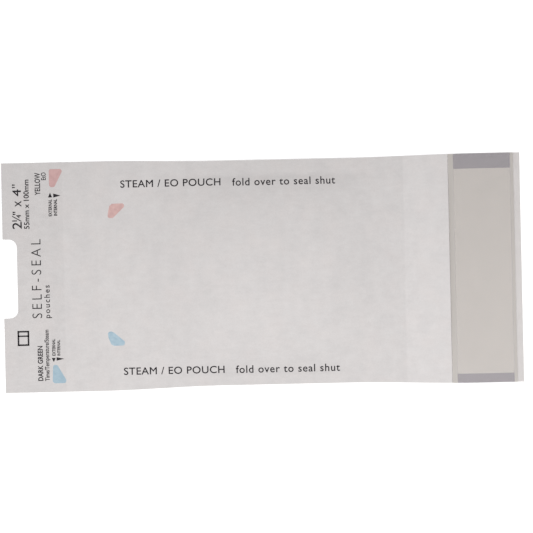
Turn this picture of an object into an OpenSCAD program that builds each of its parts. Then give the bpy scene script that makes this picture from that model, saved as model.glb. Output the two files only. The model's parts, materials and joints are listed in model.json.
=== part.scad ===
// Self-seal sterilisation pouch, paper side up. X runs from the notched peel end to the flap
// end, Y across, Z up. The origin is the middle of the underside.

/* [Sheet sizes] */
// Width over both side edges
pouch_width = 57.15; // [40:0.05:100]
// Notched end to the fold crease
bag_length = 100; // [80:0.5:150]
// Notched end to the flap's end
film_length = 129.15; // [110:0.05:190]
// Paper beyond the crease, up to the mouth
lip_length = 11.2; // [6:0.1:16]
// Unsealed margin at the notched end
tab_length = 15.3; // [10:0.1:25]

/* [Thickness] */
// Plastic film
film_t = 0.055; // [0.04:0.005:0.1]
// Fused sealant between the webs
seal_t = 0.025; // [0.02:0.005:0.05]
// Paper
paper_t = 0.09; // [0.06:0.005:0.14]
// Adhesive strip
glue_t = 0.05; // [0.03:0.005:0.1]
// Release liner
liner_t = 0.07; // [0.05:0.005:0.1]
// Printed ink
ink_t = 0.01; // [0.005:0.001:0.02]

/* [Seals] */
// Side seal on the +Y side
seal_left = 3.75; // [2:0.05:8]
// Side seal on the -Y side
seal_right = 2.3; // [2:0.05:8]
// Each line of the end seal
end_line = 2; // [1:0.1:4]
// Spacing of the end seal's lines
end_pitch = 3.2; // [1.5:0.1:6]
// Lines in the end seal
end_lines = 3; // [1:1:4]

/* [Swell] */
// Gap between the webs at the middle
swell_gap = 4.7; // [1:0.1:8]
// Height of the side seals' inner edges off the table
edge_lift = 0.7; // [0:0.1:2]
// Where the swell starts
swell_start = 31; // [28:0.5:45]
// Length over which it grows and fades
swell_run = 24; // [15:0.5:35]
// Pull-in of the +Y edge
pinch_left = 0.5; // [0:0.05:1]
// Pull-in of the -Y edge
pinch_right = 0.75; // [0:0.05:1]
// Curl of the mouth's free edge
lip_curl = 0.45; // [0:0.05:1]

/* [Thumb notch] */
// Depth
notch_depth = 3.5; // [2:0.1:8]
// Width
notch_width = 19.7; // [10:0.1:25]
// Offset towards -Y
notch_shift = 0.2; // [0:0.05:2]
// Corner radius
notch_r = 2.1; // [0.5:0.1:3]

/* [Adhesive and liner] */
// Paper's edge to the liner
liner_gap = 0.15; // [0.1:0.05:0.5]
// Liner's width along the pouch
liner_width = 16.15; // [10:0.05:25]
// Liner's edge to the adhesive
glue_inset = 1.2; // [0.5:0.05:3]
// Adhesive's width along the pouch
glue_width = 14.25; // [8:0.05:22]

/* [Indicators] */
// Corner radius of a patch
patch_r = 0.5; // [0.2:0.05:0.6]
// Offset of the patches towards +Y
patch_shift = 0.25; // [-0.5:0.05:0.5]

/* [Hidden] */
half = pouch_width / 2;
paper_z = film_t + seal_t;
paper_top = paper_z + paper_t;
mouth_x = bag_length + lip_length;
liner_x = mouth_x + liner_gap;
glue_x = liner_x + glue_inset;
hinge_gap = 0.01;
end_seal_x = tab_length + 0.3;
pinch_start = 24;
pinch_run = 30;
pinch_fade = 86;
pinch_fade_run = 32;
arc_steps = 6;

// Stations along the swell, and columns across: 1 is a seal's inner edge, 2 the outer edge.
xs = concat([tab_length + hinge_gap, pinch_start],
            [for (x = [swell_start : 3 : bag_length - 1]) x], [bag_length]);
lip_xs = [for (i = [0 : 4]) bag_length + hinge_gap + (lip_length - hinge_gap) * i / 4];
inner = [-1, -0.9, -0.75, -0.6, -0.4, -0.2, 0, 0.2, 0.4, 0.6, 0.75, 0.9, 1];
full = concat([-2, -1.5], inner, [1.5, 2]);

function ease(t) = let(k = min(max(t, 0), 1)) k * k * (3 - 2 * k);
function pinch(x) = ease((x - pinch_start) / pinch_run)
                    * (1 - ease((x - pinch_fade) / pinch_fade_run));
function swell(x) = ease((x - swell_start) / swell_run) * ease((bag_length - x) / swell_run);
function edge_left(x) = half - pinch_left * pinch(x);
function edge_right(x) = half - pinch_right * pinch(x);
function across(x, c) =
    let(edge = c < 0 ? edge_right(x) : edge_left(x), seal = c < 0 ? seal_right : seal_left,
        a = abs(c), d = a <= 1 ? a * (edge - seal) : edge - seal * (2 - a))
    c < 0 ? -d : d;
function ridge(a) = a <= 1 ? ease((a - 0.45) / 0.55) : 1.85 - 0.85 * a;
function film_z(x, c) = edge_lift * swell(x) * ridge(abs(c));
function gape(c) = max(0, 1 - pow(abs(c), 3));
function curl(x) = x > bag_length ? lip_curl * pow((x - bag_length) / lip_length, 2) : 0;

// Sheet between two heights above the film's underside; lift follows the paper's swell.
module skin(stations, cols, low, high, lift = 0) {
    n = len(cols);
    m = len(stations);
    pts = [for (h = [low, high]) for (x = stations) for (c = cols)
        [x, across(x, c), film_z(x, c) + h + lift * gape(c) * (swell_gap * swell(x) + curl(x))]];
    k = n * m;
    cells = [for (i = [0 : m - 2]) for (j = [0 : n - 2]) i * n + j];
    polyhedron(pts, concat(
        [for (p = cells) each [[p, p + n, p + 1], [p + 1, p + n, p + n + 1]]],
        [for (p = cells) each [[p + k, p + 1 + k, p + n + k], [p + 1 + k, p + n + 1 + k, p + n + k]]],
        [for (i = [0 : m - 2]) let(p = i * n) each [[p, p + k, p + n], [p + n, p + k, p + n + k]]],
        [for (i = [0 : m - 2]) let(p = i * n + n - 1) each [[p, p + n, p + k], [p + n, p + n + k, p + k]]],
        [for (j = [0 : n - 2]) each [[j, j + 1, j + k], [j + 1, j + 1 + k, j + k]]],
        [for (j = [0 : n - 2]) let(p = (m - 1) * n + j) each [[p, p + k, p + 1], [p + 1, p + k, p + 1 + k]]]),
        convexity = 6);
}

// Flat sheet between two stations, following the pinched side edges.
module flat_sheet(x0, x1, z0, t, low_edge = -2, high_edge = 2) {
    n = 6;
    sts = [for (i = [0 : n]) x0 + (x1 - x0) * i / n];
    translate([0, 0, z0])
        linear_extrude(height = t)
            polygon(concat([for (i = [0 : n]) [sts[i], across(sts[i], low_edge)]],
                           [for (i = [n : -1 : 0]) [sts[i], across(sts[i], high_edge)]]));
}

function unit(v) = v / norm(v);
function corner(a, p, b, r) =
    let(u = unit(a - p), v = unit(b - p), half_turn = acos(u * v) / 2,
        centre = p + unit(u + v) * r / sin(half_turn), back = r / tan(half_turn),
        s = p + u * back - centre, e = p + v * back - centre)
    [for (i = [0 : arc_steps]) centre + r * unit(s * (arc_steps - i) + e * i)];
function rounded(pts, r) = let(n = len(pts))
    [for (i = [0 : n - 1]) each corner(pts[(i + n - 1) % n], pts[i], pts[(i + 1) % n], r)];

// Margin outline with the thumb notch in its end.
module tab_outline(x1) {
    y0 = -notch_shift - notch_width / 2;
    y1 = -notch_shift + notch_width / 2;
    polygon(concat([[0, -half], [x1, -half], [x1, half], [0, half], [0, y1]],
        corner([0, y1], [notch_depth, y1], [notch_depth, y0], notch_r),
        corner([notch_depth, y1], [notch_depth, y0], [0, y0], notch_r), [[0, y0]]));
}

module patch(pts, z) {
    translate([0, patch_shift, z]) linear_extrude(height = ink_t) polygon(rounded(pts, patch_r));
}

external_eo = [[11.85, 26.7], [15, 26.7], [15.1, 26], [13.15, 22.2], [12.2, 22.2], [11.85, 22.7]];
external_steam = [[11.9, -22.05], [12.95, -22.1], [15.15, -25.9], [14.95, -26.65], [12.15, -26.65],
                  [11.7, -26.2]];
internal_eo = [[27.35, 17.75], [30.35, 17.8], [30.45, 16.95], [27.6, 14.2], [26.2, 14.2],
               [26.45, 15.9], [26.75, 17.2]];
internal_steam = [[25.7, -14.3], [26.5, -14], [27.3, -14.4], [29.95, -16.65], [29.8, -17.6],
                  [27.2, -17.65], [26.5, -17.25], [25.8, -15.5]];

module place() translate([-film_length / 2, 0, 0]) children();

module film_tab() color("lightsteelblue") place()
    linear_extrude(height = film_t) tab_outline(tab_length);

module film_web() color("lightblue") place()
    skin(concat([tab_length], [for (i = [1 : len(xs) - 1]) xs[i]]), full, 0, film_t);

module film_flap() color("lightsteelblue") place()
    flat_sheet(bag_length + hinge_gap, film_length, 0, film_t);

module paper_tab() color("gainsboro") place()
    translate([0, 0, paper_z]) linear_extrude(height = paper_t) tab_outline(tab_length);

module paper_web() color("whitesmoke") place()
    skin(xs, full, paper_z, paper_top, 1);

module paper_lip() color("gainsboro") place()
    skin(lip_xs, full, paper_z, paper_top, 1);

module end_seal() color("white") place()
    for (i = [0 : end_lines - 1])
        translate([end_seal_x + i * end_pitch, -half + seal_right, film_t])
            cube([end_line, pouch_width - seal_left - seal_right, seal_t]);

module side_seal_left() color("white") place()
    skin(xs, [1, 1.5, 2], film_t, paper_z);

module side_seal_right() color("white") place()
    skin(xs, [-2, -1.5, -1], film_t, paper_z);

module lip_seal_left() color("white") place()
    flat_sheet(bag_length + hinge_gap, mouth_x, film_t, seal_t, 1, 2);

module lip_seal_right() color("white") place()
    flat_sheet(bag_length + hinge_gap, mouth_x, film_t, seal_t, -2, -1);

module adhesive_strip() color("khaki") place()
    flat_sheet(glue_x, glue_x + glue_width, film_t, glue_t, -1, 1);

module adhesive_pressed_ends() color("gray") place() {
    flat_sheet(glue_x, glue_x + glue_width, film_t, glue_t, 1, 2);
    flat_sheet(glue_x, glue_x + glue_width, film_t, glue_t, -2, -1);
}

module release_liner() color("wheat") place()
    flat_sheet(liner_x, liner_x + liner_width, film_t + glue_t, liner_t);

module external_steam_indicator() color("skyblue") place()
    patch(external_steam, paper_top);

module external_eo_indicator() color("pink") place()
    patch(external_eo, paper_top);

module internal_steam_indicator() color("skyblue") place()
    patch(internal_steam, paper_z - ink_t);

module internal_eo_indicator() color("pink") place()
    patch(internal_eo, paper_z - ink_t);

film_tab();
film_web();
film_flap();
paper_tab();
paper_web();
paper_lip();
end_seal();
side_seal_left();
side_seal_right();
lip_seal_left();
lip_seal_right();
adhesive_strip();
adhesive_pressed_ends();
release_liner();
external_steam_indicator();
external_eo_indicator();
internal_steam_indicator();
internal_eo_indicator();
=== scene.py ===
import json
import math

import bpy
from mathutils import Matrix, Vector, noise

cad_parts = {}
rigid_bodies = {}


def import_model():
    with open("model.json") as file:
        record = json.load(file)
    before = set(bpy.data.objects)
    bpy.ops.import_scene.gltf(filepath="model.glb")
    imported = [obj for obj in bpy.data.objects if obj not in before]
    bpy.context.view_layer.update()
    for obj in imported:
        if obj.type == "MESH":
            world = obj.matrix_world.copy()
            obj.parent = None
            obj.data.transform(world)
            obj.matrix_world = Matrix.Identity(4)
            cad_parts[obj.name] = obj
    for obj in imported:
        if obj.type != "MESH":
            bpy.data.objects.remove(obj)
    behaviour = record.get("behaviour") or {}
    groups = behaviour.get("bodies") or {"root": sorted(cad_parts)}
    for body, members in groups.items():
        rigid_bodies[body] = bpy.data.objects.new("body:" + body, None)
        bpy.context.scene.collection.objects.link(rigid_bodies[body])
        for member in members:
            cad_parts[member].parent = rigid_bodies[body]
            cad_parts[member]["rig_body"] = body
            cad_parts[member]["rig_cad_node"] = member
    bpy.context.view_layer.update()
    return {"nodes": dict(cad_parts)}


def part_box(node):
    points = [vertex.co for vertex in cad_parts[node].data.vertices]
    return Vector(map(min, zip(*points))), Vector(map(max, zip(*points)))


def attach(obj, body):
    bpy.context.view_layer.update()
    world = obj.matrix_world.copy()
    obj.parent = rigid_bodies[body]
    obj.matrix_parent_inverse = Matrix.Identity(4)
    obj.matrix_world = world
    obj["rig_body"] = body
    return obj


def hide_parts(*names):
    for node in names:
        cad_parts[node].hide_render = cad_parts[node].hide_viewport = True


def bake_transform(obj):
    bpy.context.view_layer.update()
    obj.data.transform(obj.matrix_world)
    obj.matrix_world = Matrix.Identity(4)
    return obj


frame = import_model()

mm = 0.001
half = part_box("film_tab")[1].y                 # half the pouch's width
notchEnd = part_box("film_tab")[0].x             # peel end
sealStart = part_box("film_web")[0].x            # unsealed margin stops here
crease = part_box("paper_web")[1].x              # fold line
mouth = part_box("paper_lip")[1].x               # paper's free edge
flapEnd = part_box("film_flap")[1].x
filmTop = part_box("film_tab")[1].z
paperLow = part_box("paper_tab")[0].z
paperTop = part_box("paper_tab")[1].z
bpy.ops.object.select_all(action="DESELECT")
print("frame loaded")

# shape of the swollen pouch, shared by every web

swellSettings = {
    "gap": 4.7 * mm, "edgeLift": 0.7 * mm, "start": 31 * mm, "run": 24 * mm,
    "pinchLeft": 0.5 * mm, "pinchRight": 0.75 * mm, "lipCurl": 0.45 * mm,
    "pinchFrom": 24 * mm, "pinchIn": 30 * mm, "pinchTo": 86 * mm, "pinchOut": 32 * mm,
    "sealLeft": 3.75 * mm, "sealRight": 2.3 * mm,
    "pucker": 0.035 * mm, "puckerLength": 6.5 * mm, "wave": 0.05 * mm,
}


def ease(t):
    k = min(max(t, 0.0), 1.0)
    return k * k * (3 - 2 * k)


def pinch(x):
    s = swellSettings
    a = x - notchEnd
    return ease((a - s["pinchFrom"]) / s["pinchIn"]) * (1 - ease((a - s["pinchTo"]) / s["pinchOut"]))


def swell(x):
    s = swellSettings
    return ease((x - notchEnd - s["start"]) / s["run"]) * ease((crease - x) / s["run"])


def sideEdge(x, left):
    return half - swellSettings["pinchLeft" if left else "pinchRight"] * pinch(x)


def acrossAt(x, c):                            # c is 1 at a seal's inner edge and 2 at the outer edge
    s = swellSettings
    left = c >= 0
    edge, seal = sideEdge(x, left), s["sealLeft" if left else "sealRight"]
    a = abs(c)
    d = a * (edge - seal) if a <= 1 else edge - seal * (2 - a)
    return d if left else -d


def columnOf(x, y):
    left = y >= 0
    inner = sideEdge(x, left) - swellSettings["sealLeft" if left else "sealRight"]
    return y / inner


def ridge(x, y):                               # seals stand up at their inner edges, slope down outwards
    left = y >= 0
    a = abs(columnOf(x, y))
    if a <= 1:
        return ease((a - 0.45) / 0.55)
    seal = swellSettings["sealLeft" if left else "sealRight"]
    return 1 - 0.85 * (abs(y) - (sideEdge(x, left) - seal)) / seal


def filmRise(x, y):
    return swellSettings["edgeLift"] * swell(x) * ridge(x, y)


def sheetWave(x, y, seed):                     # slow unevenness, none at the crease or in flat stretches
    s = swellSettings
    k = swell(x) * max(0.0, 1 - columnOf(x, y) ** 2)
    broad = noise.noise(Vector((x * 90, y * 110, seed)))
    small = noise.noise(Vector((x * 210, y * 190, seed + 7)))
    return s["wave"] * k * (broad + 0.5 * small)


def paperRise(x, y):
    s = swellSettings
    c = min(1.0, abs(columnOf(x, y)))
    gape = 1 - c ** 3
    lip = s["lipCurl"] * ((x - crease) / (mouth - crease)) ** 2 if x > crease else 0.0
    drift = 3 * noise.noise(Vector((x * 60, 0, 3)))
    pucker = s["pucker"] * math.sin(2 * math.pi * x / s["puckerLength"] + drift)
    edgeBand = c ** 6 * (1 - c ** 8) * 2.6 * swell(x)
    return filmRise(x, y) + gape * (s["gap"] * swell(x) + lip) + pucker * edgeBand + sheetWave(x, y, 1.3)


# end-seal lines in millimetres from the notched end, and how deep they and the crease are pressed
pressSettings = {
    "first": 15.6, "pitch": 3.2, "count": 3, "depth": 0.016 * mm,
    "creaseReach": 0.55 * mm, "creaseDepth": 0.018 * mm,
}


def pressed(x, y):                             # how far the paper sinks into the seals and the crease
    s = pressSettings
    a = x - notchEnd
    lines = [s["first"] + s["pitch"] * i for i in range(s["count"])]
    end = max(ease(1.6 - abs(a / mm - q - 1) / 0.72) for q in lines)
    score = ease(1 - abs(x - crease) / s["creaseReach"])
    return s["depth"] * end + s["creaseDepth"] * score


# helpers for meshes


def activate(piece):
    bpy.ops.object.select_all(action="DESELECT")
    piece.select_set(True)
    bpy.context.view_layer.objects.active = piece


def settle(piece):                             # puts place, turn and size into the mesh
    activate(piece)
    bpy.ops.object.transform_apply(location=True, rotation=True, scale=True)


# points are closer together near the crease, and a bag has more of them across it than a seal
gridSettings = {"fineReach": 1.2 * mm, "fineStep": 0.14 * mm, "bagColumns": 88, "sealColumns": 6}


def stationsBetween(low, high, step, fineAt=None):
    stations, x = [], low
    while x < high - 1e-6:
        stations.append(x)
        close = fineAt is not None and abs(x - fineAt) < gridSettings["fineReach"]
        x += gridSettings["fineStep"] if close else step
    return stations + [high]


def columnsBetween(low, high):
    parts = [low] + [b for b in (-1, 1) if low < b < high] + [high]
    cs = []
    for a, b in zip(parts, parts[1:]):
        n = gridSettings["bagColumns" if b - a > 1.5 else "sealColumns"]
        cs += [a + (b - a) * i / n for i in range(n)]
    return cs + [high]


def makeWeb(name, stations, columns, top, thickness):      # a sheet whose upper face is top(x, y)
    bpy.ops.object.select_all(action="DESELECT")
    nx, ny = len(stations) - 1, len(columns) - 1
    bpy.ops.mesh.primitive_grid_add(x_subdivisions=nx, y_subdivisions=ny, size=1)
    piece = bpy.context.object
    piece.name = name
    for v in piece.data.vertices:
        x = stations[int(round((v.co.x + 0.5) * nx))]
        y = acrossAt(x, columns[int(round((v.co.y + 0.5) * ny))])
        v.co = (x, y, top(x, y))
    return thicken(piece, thickness)


def thicken(piece, thickness):
    activate(piece)
    solid = piece.modifiers.new("Thickness", "SOLIDIFY")
    solid.thickness = thickness
    solid.offset = -1
    bpy.ops.object.modifier_apply(modifier="Thickness")
    bpy.ops.object.shade_smooth_by_angle(angle=math.radians(40))
    return piece


def makeMaterial(name, **values):
    material = bpy.data.materials.new(name)
    material.use_nodes = True
    shader = material.node_tree.nodes["Principled BSDF"]
    for key, value in values.items():
        shader.inputs[key].default_value = value
    return material, shader


def node(material, kind, **values):
    made = material.node_tree.nodes.new(kind)
    for key, value in values.items():
        if key in made.inputs:
            made.inputs[key].default_value = value
        else:
            setattr(made, key, value)
    return made


def join(material, source, target):
    material.node_tree.links.new(source, target)


def ramp(material, source, stops):
    made = node(material, "ShaderNodeValToRGB")
    band = made.color_ramp
    while len(band.elements) < len(stops):
        band.elements.new(0.5)
    for element, (place, colour) in zip(band.elements, stops):
        element.position = place
        element.color = (*colour, 1)
    join(material, source, made.inputs["Fac"])
    return made.outputs["Color"]


def grain(material, scale, detail=3.0, stretch=None, roughness=0.5, distortion=0.0):
    place = node(material, "ShaderNodeTexCoord")
    texture = node(material, "ShaderNodeTexNoise", Scale=scale, Detail=detail, Roughness=roughness,
                   Distortion=distortion)
    source = place.outputs["Object"]
    if stretch:
        mapping = node(material, "ShaderNodeMapping", Scale=stretch)
        join(material, source, mapping.inputs["Vector"])
        source = mapping.outputs["Vector"]
    join(material, source, texture.inputs["Vector"])
    return texture.outputs["Fac"]


def blendColours(material, mode, amount, first, second):
    made = node(material, "ShaderNodeMix", data_type="RGBA", blend_type=mode)
    if isinstance(amount, float):
        made.inputs["Factor"].default_value = amount
    else:
        join(material, amount, made.inputs["Factor"])
    for socket, source in ((made.inputs[6], first), (made.inputs[7], second)):
        if isinstance(source, tuple):
            socket.default_value = (*source, 1)
        else:
            join(material, source, socket)
    return made.outputs[2]


def addBump(material, shader, source, strength, depth):
    bump = node(material, "ShaderNodeBump", Strength=strength, Distance=depth)
    join(material, source, bump.inputs["Height"])
    join(material, bump.outputs["Normal"], shader.inputs["Normal"])


def alongX(material, x0, x1):                  # 0 before x0 and 1 after x1
    place = node(material, "ShaderNodeTexCoord")
    parts = node(material, "ShaderNodeSeparateXYZ")
    join(material, place.outputs["Object"], parts.inputs["Vector"])
    made = node(material, "ShaderNodeMapRange", interpolation_type="SMOOTHSTEP")
    for key, value in (("From Min", x0), ("From Max", x1), ("To Min", 0), ("To Max", 1)):
        made.inputs[key].default_value = value
    join(material, parts.outputs["X"], made.inputs["Value"])
    return made.outputs["Result"]


# paper

paperSettings = {
    "light": (0.476, 0.457, 0.453), "dark": (0.445, 0.427, 0.424), "warm": (0.478, 0.450, 0.443),
    "cloud": 300, "fibre": 800, "fine": 3200,
}
# where each stretch of paper turns paler, start and end, and by how much: the margin before the end seal is
# darker as painted shade, the end-seal stretch is a little darker than the bag, and the lip past the crease
# is paler still
paperShadeAndToneSteps = [
    (sealStart - 0.3 * mm, sealStart, 0.014), (sealStart + 8 * mm, sealStart + 8.4 * mm, 0.006),
    (crease - 0.2 * mm, crease + 0.3 * mm, 0.02),
]


def paperMaterial():
    s = paperSettings
    material, shader = makeMaterial("medicalPaper", Roughness=0.88, **{"Specular IOR Level": 0.22})
    cloud = grain(material, s["cloud"], 5, stretch=(1, 0.6, 1), roughness=0.6)
    fibre = grain(material, s["fibre"], 3, stretch=(0.45, 1, 1), roughness=0.6)
    fine = grain(material, s["fine"], 2, roughness=0.7)
    warmth = grain(material, 210, 3)
    base = ramp(material, cloud, [(0.3, s["dark"]), (0.7, s["light"])])
    warm = ramp(material, warmth, [(0.45, (0, 0, 0)), (0.7, (0.6, 0.6, 0.6))])
    base = blendColours(material, "MIX", warm, base, s["warm"])
    grey = ramp(material, fibre, [(0.3, (0.3, 0.3, 0.3)), (0.7, (0.7, 0.7, 0.7))])
    base = blendColours(material, "SOFT_LIGHT", 0.12, base, grey)
    speck = ramp(material, fine, [(0.3, (0.2, 0.2, 0.2)), (0.7, (0.8, 0.8, 0.8))])
    base = blendColours(material, "SOFT_LIGHT", 0.1, base, speck)
    # the first step paints shade on the margin; the other steps only make the paper past them paler
    for x0, x1, lift in paperShadeAndToneSteps:
        lifted = blendColours(material, "ADD", lift, base, (1.0, 0.97, 0.98))
        base = blendColours(material, "MIX", alongX(material, x0, x1), base, lifted)
    join(material, base, shader.inputs["Base Color"])
    addBump(material, shader, fine, 0.2, 0.00002)
    return material


def paperFace(x, y):
    return paperTop + paperRise(x, y) - pressed(x, y)


def tabPiece(name, top, thickness):            # margin with the thumb notch cut out of its end
    bpy.ops.object.select_all(action="DESELECT")
    nx, ny = 30, 112
    bpy.ops.mesh.primitive_grid_add(x_subdivisions=nx, y_subdivisions=ny, size=1)
    piece = bpy.context.object
    piece.name = name
    for v in piece.data.vertices:
        x = notchEnd + (v.co.x + 0.5) * (sealStart - notchEnd)
        y = 2 * half * v.co.y
        v.co = (x, y, top(x, y))
    thicken(piece, thickness)
    cutNotch(piece)
    return piece


notch = {"depth": 3.5 * mm, "width": 19.7 * mm, "shift": -0.2 * mm, "radius": 2.1 * mm}


def cutNotch(piece):
    s = notch
    bpy.ops.object.select_all(action="DESELECT")
    bpy.ops.mesh.primitive_cube_add(size=1, location=(notchEnd, s["shift"], paperLow))
    cutter = bpy.context.object
    cutter.scale = (2 * s["depth"], s["width"], 4 * mm)
    settle(cutter)
    rounding = cutter.modifiers.new("Corners", "BEVEL")
    rounding.width = s["radius"]
    rounding.segments = 8
    rounding.limit_method = "WEIGHT"
    weights = cutter.data.attributes.new("bevel_weight_edge", "FLOAT", "EDGE")
    for edge in cutter.data.edges:
        a, b = (cutter.data.vertices[i].co for i in edge.vertices)
        if abs(a.z - b.z) > mm and a.x > notchEnd:
            weights.data[edge.index].value = 1
    bpy.ops.object.modifier_apply(modifier="Corners")
    activate(piece)
    cut = piece.modifiers.new("Notch", "BOOLEAN")
    cut.object = cutter
    cut.operation = "DIFFERENCE"
    cut.solver = "EXACT"
    bpy.ops.object.modifier_apply(modifier="Notch")
    bpy.data.objects.remove(cutter)


paper = paperMaterial()
paperSheet = makeWeb("paperSheet", stationsBetween(sealStart, mouth, 0.62 * mm, crease),
                     columnsBetween(-2, 2), paperFace, paperTop - paperLow)
paperSheet.data.materials.append(paper)
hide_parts("paper_web", "paper_lip")
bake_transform(paperSheet)
paperMargin = tabPiece("paperMargin", lambda x, y: paperTop, paperTop - paperLow)
paperMargin.data.materials.append(paper)
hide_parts("paper_tab")
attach(paperMargin, "peel_tab")
print("paper made")

# film

filmSettings = {
    "light": (0.302, 0.27, 0.262), "dark": (0.274, 0.243, 0.235),
    "alpha": 0.27, "roughness": 0.2, "specular": 0.22,
}


def filmMaterial():
    s = filmSettings
    material, shader = makeMaterial("clearFilm", Roughness=s["roughness"], Alpha=s["alpha"],
                                    **{"Specular IOR Level": s["specular"]})
    haze = grain(material, 420, 3, stretch=(0.25, 1, 1))
    colour = ramp(material, haze, [(0.35, s["dark"]), (0.7, s["light"])])
    join(material, colour, shader.inputs["Base Color"])
    flow = grain(material, 260, 2, stretch=(0.2, 1, 1))
    addBump(material, shader, flow, 0.12, 0.00008)
    return material


film = filmMaterial()


def filmFace(x, y):
    return filmTop + filmRise(x, y)


filmSheet = makeWeb("filmSheet", stationsBetween(sealStart, flapEnd, 0.8 * mm, crease),
                    columnsBetween(-2, 2), filmFace, filmTop)
filmSheet.data.materials.append(film)
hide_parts("film_web", "film_flap")
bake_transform(filmSheet)
filmMargin = frame["nodes"]["film_tab"]
filmMargin.data.materials.clear()
filmMargin.data.materials.append(film)
print("film made")

# fused seals


sealSettings = {
    "light": (0.74, 0.74, 0.73), "dark": (0.62, 0.62, 0.61), "alpha": 0.55, "roughness": 0.35,
    "thickness": 0.02 * mm, "sink": 0.002 * mm,
}


def sealMaterial():
    s = sealSettings
    material, shader = makeMaterial("fusedSeal", Roughness=s["roughness"], Alpha=s["alpha"])
    spots = grain(material, 1500, 2)
    colour = ramp(material, spots, [(0.35, s["dark"]), (0.7, s["light"])])
    join(material, colour, shader.inputs["Base Color"])
    return material


def sealFace(x, y):                            # just under the paper
    return paperLow + filmRise(x, y) - sealSettings["sink"]


fused = sealMaterial()
sealRuns = {"side_seal_left": (1, 2), "side_seal_right": (-2, -1)}
for cadName, span in sealRuns.items():
    run = makeWeb(cadName.replace("side_seal_", "sideSeal_"),
                  stationsBetween(sealStart, crease - 0.5 * mm, 0.8 * mm), columnsBetween(*span),
                  sealFace, sealSettings["thickness"])
    run.data.materials.append(fused)
    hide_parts(cadName)
    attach(run, "pouch")
for cadName in ("end_seal", "lip_seal_left", "lip_seal_right"):
    sealNode = frame["nodes"][cadName]
    sealNode.data.materials.clear()
    sealNode.data.materials.append(fused)
print("seals made")

# adhesive and liner


adhesiveSettings = {
    "light": (0.74, 0.677, 0.594), "dark": (0.72, 0.657, 0.574), "alpha": 0.75, "roughness": 0.3,
    "pressedLight": (0.072, 0.034, 0.09), "pressedDark": (0.058, 0.022, 0.07), "pressedRoughness": 0.25,
}


def adhesiveMaterial():
    s = adhesiveSettings
    material, shader = makeMaterial("adhesive", Roughness=s["roughness"], Alpha=s["alpha"])
    lumps = grain(material, 500, 3)
    colour = ramp(material, lumps, [(0.35, s["dark"]), (0.7, s["light"])])
    join(material, colour, shader.inputs["Base Color"])
    addBump(material, shader, lumps, 0.3, 0.00003)
    return material


def pressedMaterial():
    s = adhesiveSettings
    material, shader = makeMaterial("pressedAdhesive", Roughness=s["pressedRoughness"])
    lumps = grain(material, 600, 3)
    colour = ramp(material, lumps, [(0.35, s["pressedDark"]), (0.7, s["pressedLight"])])
    join(material, colour, shader.inputs["Base Color"])
    return material


linerSettings = {
    "light": (0.515, 0.496, 0.495), "dark": (0.50, 0.482, 0.481), "alpha": 0.322,
    "dryLight": (0.415, 0.388, 0.366), "dryDark": (0.402, 0.376, 0.354), "dryAlpha": 0.9,
    "wave": 0.012 * mm, "barDepth": 0.012 * mm, "thickness": 0.056 * mm,
}
glueLow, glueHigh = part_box("adhesive_strip")


def linerMaterial():                           # the adhesive wets the liner and makes it clearer
    s = linerSettings
    material, shader = makeMaterial("releaseLiner", Roughness=0.42, **{"Specular IOR Level": 0.35})
    cloud = grain(material, 300, 3, stretch=(1, 0.6, 1), roughness=0.5)
    wet = ramp(material, cloud, [(0.33, s["dark"]), (0.7, s["light"])])
    dry = ramp(material, cloud, [(0.33, s["dryDark"]), (0.7, s["dryLight"])])
    edges = node(material, "ShaderNodeMath", operation="SUBTRACT")
    join(material, alongX(material, glueLow.x - 0.15 * mm, glueLow.x + 0.15 * mm), edges.inputs[0])
    join(material, alongX(material, glueHigh.x - 0.15 * mm, glueHigh.x + 0.15 * mm), edges.inputs[1])
    colour = blendColours(material, "MIX", edges.outputs["Value"], dry, wet)
    join(material, colour, shader.inputs["Base Color"])
    cover = node(material, "ShaderNodeMapRange")
    cover.inputs["To Min"].default_value = s["dryAlpha"]
    cover.inputs["To Max"].default_value = s["alpha"]
    join(material, edges.outputs["Value"], cover.inputs["Value"])
    join(material, cover.outputs["Result"], shader.inputs["Alpha"])
    addBump(material, shader, grain(material, 2200, 2, stretch=(1, 0.3, 1)), 0.1, 0.00001)
    return material


for cadName, made in (("adhesive_strip", adhesiveMaterial()), ("adhesive_pressed_ends", pressedMaterial())):
    glue = frame["nodes"][cadName]
    glue.data.materials.clear()
    glue.data.materials.append(made)
linerLow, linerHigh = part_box("release_liner")
pressedLow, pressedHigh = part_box("adhesive_pressed_ends")


def linerFace(x, y):
    s = swellSettings
    depth = min(sideEdge(x, True) - y - s["sealLeft"], y + sideEdge(x, False) - s["sealRight"])
    bar = ease(0.5 - depth / (0.5 * mm))
    free = ease((x - pressedHigh.x) / (0.4 * mm)) + ease((pressedLow.x - x) / (0.4 * mm))
    wave = linerSettings["wave"] * noise.noise(Vector((x * 300, y * 240, 9)))
    return linerHigh.z - linerSettings["barDepth"] * bar * (1 - free) + (wave * (1 - bar) if wave > 0 else 0)


linerStrip = makeWeb("linerStrip", stationsBetween(linerLow.x, linerHigh.x, 0.55 * mm),
                     columnsBetween(-2, 2), linerFace, linerSettings["thickness"])
linerStrip.data.materials.append(linerMaterial())
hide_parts("release_liner")
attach(linerStrip, "liner")
print("adhesive and liner made")

# process indicators


def inkMaterial(name, light, dark, alpha):
    material, shader = makeMaterial(name, Roughness=0.8, Alpha=alpha)
    blot = grain(material, 900, 4)
    join(material, ramp(material, blot, [(0.35, dark), (0.68, light)]), shader.inputs["Base Color"])
    return material


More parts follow.
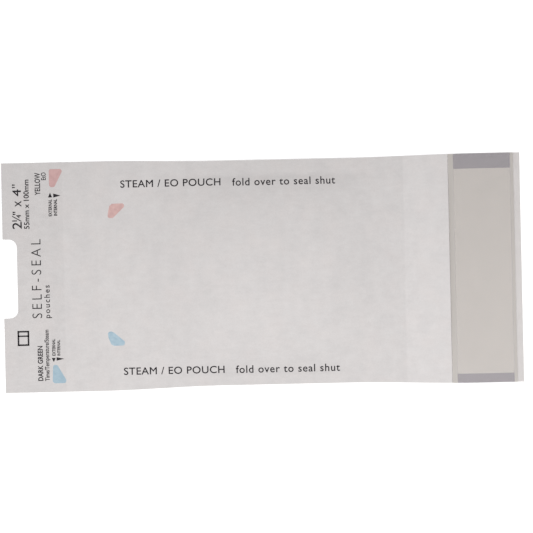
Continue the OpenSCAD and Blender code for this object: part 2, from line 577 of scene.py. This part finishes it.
# light and dark of each ink on the margin, then of the stain that strikes through from inside
indicatorInks = {
    "eo": ((0.455, 0.290, 0.281), (0.40, 0.250, 0.245), (0.574, 0.374, 0.350), (0.49, 0.312, 0.298)),
    "steam": ((0.280, 0.368, 0.424), (0.243, 0.333, 0.394), (0.356, 0.462, 0.525), (0.283, 0.390, 0.467)),
}
for kind, (light, dark, stainLight, stainDark) in indicatorInks.items():
    ink = inkMaterial(kind + "Ink", light, dark, 1.0)
    for place in ("external", "internal"):
        patch = frame["nodes"][f"{place}_{kind}_indicator"]
        patch.data.materials.clear()
        patch.data.materials.append(ink)
    shown = frame["nodes"][f"internal_{kind}_indicator"].copy()
    shown.data = shown.data.copy()
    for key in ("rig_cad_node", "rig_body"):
        del shown[key]
    shown.parent = None
    shown.name = kind + "StrikeThrough"
    bpy.context.scene.collection.objects.link(shown)
    inkTop = max(v.co.z for v in shown.data.vertices)
    for v in shown.data.vertices:
        v.co.z += paperTop + 0.009 * mm - inkTop
    shown.data.materials.clear()
    shown.data.materials.append(inkMaterial(kind + "Stain", stainLight, stainDark, 0.85))
    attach(shown, "pouch")
print("indicators made")

# printed lettering

printShift = 0.27                               # the margin's print sits off the middle, towards +Y
# words, left and right x, start and end y, tracking, added stroke; margin words read towards +Y
marginPrint = {
    "inchesTwo": ("2", 2.5, 4.86, 11.95, 13.65, 1.0, 0.025),
    "inchesQuarter": ("\u00bc", 2.5, 4.8, 13.72, 15.5, 1.0, 0.03),
    "inchesBy": ("x", 3.24, 4.87, 17.5, 18.95, 1.0, 0.0),
    "inchesFour": ("4", 2.66, 4.82, 20.1, 21.8, 1.0, 0.03),
    "sizeMetric": ("55mm x 100mm", 5.42, 6.78, 11.9, 24.2, 1.0, 0.03),
    "eoColour": ("YELLOW", 8.25, 9.65, 20.3, 25.85, 1.04, 0.035),
    "eoName": ("EtO", 9.9, 11.1, 24.0, 25.9, 1.0, 0.025),
    "eoOuter": ("EXTERNAL", 11.6, 12.45, 14.95, 19.15, 1.04, 0.03),
    "eoInner": ("INTERNAL", 12.9, 13.75, 15.05, 19.2, 1.04, 0.035),
    "pouchName": ("SELF-SEAL", 7.02, 9.45, -10.35, 9.3, 1.42, -0.035),
    "pouchWord": ("pouches", 10.05, 11.9, -10.4, -2.2, 1.3, 0.02),
    "steamColour": ("DARK GREEN", 8.1, 9.4, -26.0, -17.3, 1.04, 0.045),
    "steamTest": ("Time/Temperature/Steam", 9.85, 11.3, -26.05, -13.3, 1.0, 0.025),
    "steamOuter": ("EXTERNAL", 11.75, 12.55, -19.8, -15.6, 1.04, 0.03),
    "steamInner": ("INTERNAL", 13.0, 13.75, -19.8, -15.85, 1.04, 0.03),
}
arrows = {                                     # tip and the two base corners
    "eoOuterArrow": ((12.05, 20.85), (11.55, 19.65), (12.55, 19.65)),
    "eoInnerArrow": ((14.65, 20.05), (12.85, 20.6), (12.85, 19.6)),
    "steamOuterArrow": ((12.08, -21.35), (12.58, -20.35), (11.6, -20.35)),
    "steamInnerArrow": ((14.7, -20.6), (12.8, -20.2), (12.8, -21.05)),
}
inchStrokes = {                                # the inch marks' tapered strokes
    "middles": [15.62, 16.12, 22.32, 22.92], "low": 2.65, "high": 3.35, "lowHalf": 0.19, "highHalf": 0.1,
}
edgePrint = {
    "nameTop": ("STEAM / EO POUCH", 29.6, 54.6, 21.92, 23.77, 1.06, 0.025),
    "useTop": ("fold over to seal shut", 57.5, 83.1, 21.75, 23.7, 1.1, 0.025),
    "nameBottom": ("STEAM / EO POUCH", 29.5, 54.6, -24.73, -22.88, 1.06, 0.025),
    "useBottom": ("fold over to seal shut", 57.4, 83.3, -24.85, -22.9, 1.1, 0.025),
}
# a plain pouch outline with its flap line: low and high corners of each bar
pictogram = [((3.2, -17.2), (6.1, -16.8)), ((3.2, -13.85), (6.1, -13.45)), ((3.2, -17.2), (3.6, -13.45)),
             ((5.7, -17.2), (6.1, -13.45)), ((3.2, -14.95), (6.1, -14.6))]


# the ink's colours, its top over the paper and its thickness
printSettings = {
    "light": (0.032, 0.029, 0.032), "dark": (0.014, 0.012, 0.015), "lift": 0.011 * mm, "depth": 0.014 * mm,
}


def inkBlack():
    s = printSettings
    material, shader = makeMaterial("printInk", Roughness=0.9, **{"Specular IOR Level": 0.1})
    wear = grain(material, 4000, 2)
    colour = ramp(material, wear, [(0.35, s["dark"]), (0.75, s["light"])])
    join(material, colour, shader.inputs["Base Color"])
    return material


black = inkBlack()


def layInk(piece, body):                       # drops a flat print on the paper and gives it its thickness
    for v in piece.data.vertices:
        v.co.z = (paperRise(v.co.x, v.co.y) if body == "pouch" else 0) + paperTop + printSettings["lift"]
    thicken(piece, printSettings["depth"])
    piece.data.materials.clear()
    piece.data.materials.append(black)
    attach(piece, body)


def embolden(piece, extra):                    # moves the outlines outwards by extra
    outline = {}
    faces = piece.data.polygons
    uses = {}
    for face in faces:
        for key in face.edge_keys:
            uses.setdefault(key, []).append(face.index)
    points = piece.data.vertices
    for (a, b), users in uses.items():
        if len(users) > 1:
            continue
        along = points[b].co - points[a].co
        side = Vector((along.y, -along.x, 0)).normalized()
        if side.dot(faces[users[0]].center - points[a].co) > 0:
            side.negate()
        for end in (a, b):
            outline.setdefault(end, []).append(side)
    for index, sides in outline.items():
        total = sum(sides, Vector())
        if total.length > 0.3:
            points[index].co += total * (extra * min(len(sides) / total.length_squared, 1.6 / total.length))


def letter(name, words, x0, x1, y0, y1, tracking, extra, upright, body):
    bpy.ops.object.select_all(action="DESELECT")
    bpy.ops.object.text_add(location=(0, 0, 0))
    text = bpy.context.object
    text.data.body = words
    text.data.size = 2 * mm
    text.data.space_character = tracking
    text.data.resolution_u = 4
    bpy.ops.object.convert(target="MESH")
    piece = bpy.context.object
    piece.name = name
    if not upright:
        for v in piece.data.vertices:
            v.co = (-v.co.y, v.co.x, 0)
    e = extra * mm
    xs, ys = [v.co.x for v in piece.data.vertices], [v.co.y for v in piece.data.vertices]
    sx = ((x1 - x0) * mm - 2 * e) / (max(xs) - min(xs))
    sy = ((y1 - y0) * mm - 2 * e) / (max(ys) - min(ys))
    for v in piece.data.vertices:
        v.co = (notchEnd + x0 * mm + e + (v.co.x - min(xs)) * sx, y0 * mm + e + (v.co.y - min(ys)) * sy, 0)
    activate(piece)
    bpy.ops.object.mode_set(mode="EDIT")
    bpy.ops.mesh.select_all(action="SELECT")
    bpy.ops.mesh.remove_doubles(threshold=0.000002)
    bpy.ops.object.mode_set(mode="OBJECT")
    embolden(piece, e)
    if body == "pouch":                        # more points, to follow the dome
        bpy.ops.object.mode_set(mode="EDIT")
        bpy.ops.mesh.select_all(action="SELECT")
        bpy.ops.mesh.subdivide(number_cuts=3)
        bpy.ops.object.mode_set(mode="OBJECT")
    layInk(piece, body)


for name, (words, x0, x1, y0, y1, tracking, extra) in marginPrint.items():
    letter(name, words, x0, x1, y0 + printShift, y1 + printShift, tracking, extra, False, "peel_tab")
for name, (words, x0, x1, y0, y1, tracking, extra) in edgePrint.items():
    letter(name, words, x0, x1, y0, y1, tracking, extra, True, "pouch")
flatMarks = dict(arrows)
for i, y in enumerate(inchStrokes["middles"]):
    low, high = inchStrokes["low"], inchStrokes["high"]
    wide, slim = inchStrokes["lowHalf"], inchStrokes["highHalf"]
    corners = ((low, y - wide), (high, y - slim), (high, y + slim), (low, y + wide))
    flatMarks["inchStroke" + str(i + 1)] = corners
for i, ((x0, y0), (x1, y1)) in enumerate(pictogram):
    flatMarks["pictogramBar" + str(i + 1)] = ((x0, y0), (x1, y0), (x1, y1), (x0, y1))
for name, corners in flatMarks.items():
    bpy.ops.object.select_all(action="DESELECT")
    bpy.ops.mesh.primitive_circle_add(vertices=len(corners), radius=mm, fill_type="NGON")
    mark = bpy.context.object
    mark.name = name
    for v, (x, y) in zip(mark.data.vertices, corners):
        v.co = (notchEnd + x * mm, (y + printShift) * mm, 0)
    layInk(mark, "peel_tab")
print("print made")

# floor, light and camera

bpy.ops.object.select_all(action="DESELECT")
bpy.ops.mesh.primitive_plane_add(size=6, location=(0, 0, -0.03 * mm))
floor = bpy.context.object
floor.name = "floor"
floorMaterial, floorShader = makeMaterial("paleFloor", Roughness=0.9)
floorShader.inputs["Base Color"].default_value = (0.95, 0.95, 0.95, 1)
sides = node(floorMaterial, "ShaderNodeNewGeometry")                   # the floor is clear from below
opposite = node(floorMaterial, "ShaderNodeMath", operation="SUBTRACT")
opposite.inputs[0].default_value = 1
join(floorMaterial, sides.outputs["Backfacing"], opposite.inputs[1])
join(floorMaterial, opposite.outputs["Value"], floorShader.inputs["Alpha"])
floor.data.materials.append(floorMaterial)
floor.visible_diffuse = False
floor.visible_glossy = False
floor.visible_shadow = False

scene = bpy.context.scene
scene.view_settings.view_transform = "Standard"
world = bpy.data.worlds.new("studio")
world.use_nodes = True
world.node_tree.nodes["Background"].inputs["Color"].default_value = (1, 1, 1, 1)
world.node_tree.nodes["Background"].inputs["Strength"].default_value = 0.765
scene.world = world

# place, width, depth and power
lights = {"key": ((0, -0.045, 0.1), 0.5, 0.06, 0.2), "fill": ((-0.1, 0.8, 0.8), 0.6, 0.6, 2.2),
          "under": ((0.1, -0.15, -0.5), 0.6, 0.6, 5)}
for name, (place, width, depth, power) in lights.items():
    data = bpy.data.lights.new(name, "AREA")
    data.shape = "RECTANGLE"
    data.size = width
    data.size_y = depth
    data.energy = power
    lamp = bpy.data.objects.new(name, data)
    lamp.location = place
    lamp.rotation_euler = (-Vector(place)).to_track_quat("-Z", "Y").to_euler()
    scene.collection.objects.link(lamp)

cameraSettings = {
    "lens": 200, "sensor": 36, "view": 132.8 * mm, "aim": (1.0 * mm, 1.52 * mm), "turn": -1.27,
}
camera = bpy.data.objects.new("camera", bpy.data.cameras.new("camera"))
camera.data.lens = cameraSettings["lens"]
camera.data.sensor_width = cameraSettings["sensor"]
camera.data.clip_start = 0.01
away = cameraSettings["view"] * cameraSettings["lens"] / cameraSettings["sensor"]
camera.location = (*cameraSettings["aim"], away)
camera.rotation_euler = (0, 0, math.radians(cameraSettings["turn"]))
scene.collection.objects.link(camera)
scene.camera = camera
print("stage made")
